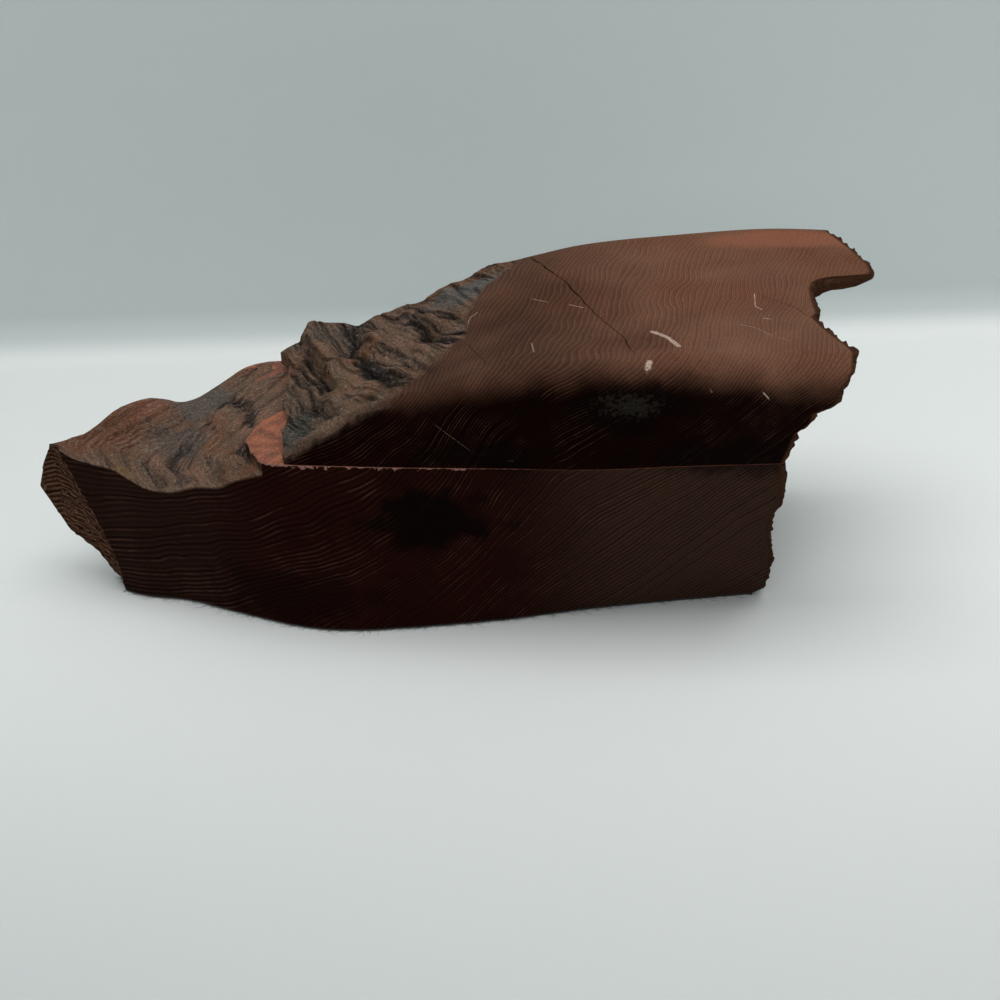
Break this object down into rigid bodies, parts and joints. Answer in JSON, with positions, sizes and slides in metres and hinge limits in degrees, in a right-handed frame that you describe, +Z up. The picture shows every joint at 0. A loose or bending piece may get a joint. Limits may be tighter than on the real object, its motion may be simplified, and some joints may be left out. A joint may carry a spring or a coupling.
{
  "type": "wooden trinket box",
  "caption": "Free-form trinket box sawn from one weathered wood chunk: a hollow, lined base on black felt and a hinged lid with a hooked, broken right end.",
  "frame": {"origin": "on the underside of the felt, at the middle of the block's length", "axes": "+X to the right along the box, +Y from its front to its hinged back, +Z up"},
  "size_m": [0.3069, 0.1173, 0.112],
  "materials": {
    "dark_wood": "satin lacquer",
    "red_wood": "satin lacquer",
    "black_felt": "fuzzy",
    "lining_felt": "fuzzy",
    "hinge_brass": "aged"
  },
  "bodies": {
    "base": {"base_body": "dark_wood", "bottom_felt": "black_felt", "floor_lining": "lining_felt", "wall_lining": "lining_felt", "left_base_leaf": "hinge_brass", "right_base_leaf": "hinge_brass", "left_hinge_pin": "hinge_brass", "right_hinge_pin": "hinge_brass", "base_screws": "hinge_brass"},
    "lid": {"lid_body": "red_wood", "lid_top_lining": "lining_felt", "lid_wall_lining": "lining_felt", "left_lid_leaf": "hinge_brass", "right_lid_leaf": "hinge_brass", "lid_screws": "hinge_brass"}
  },
  "joints": [
    {"name": "lid_hinge", "type": "hinge", "parent": "base", "child": "lid", "pos_m": [0.026, 0.049, 0.06515], "axis": [-1, 0, 0], "range_deg": [0, 98]}
  ]
}
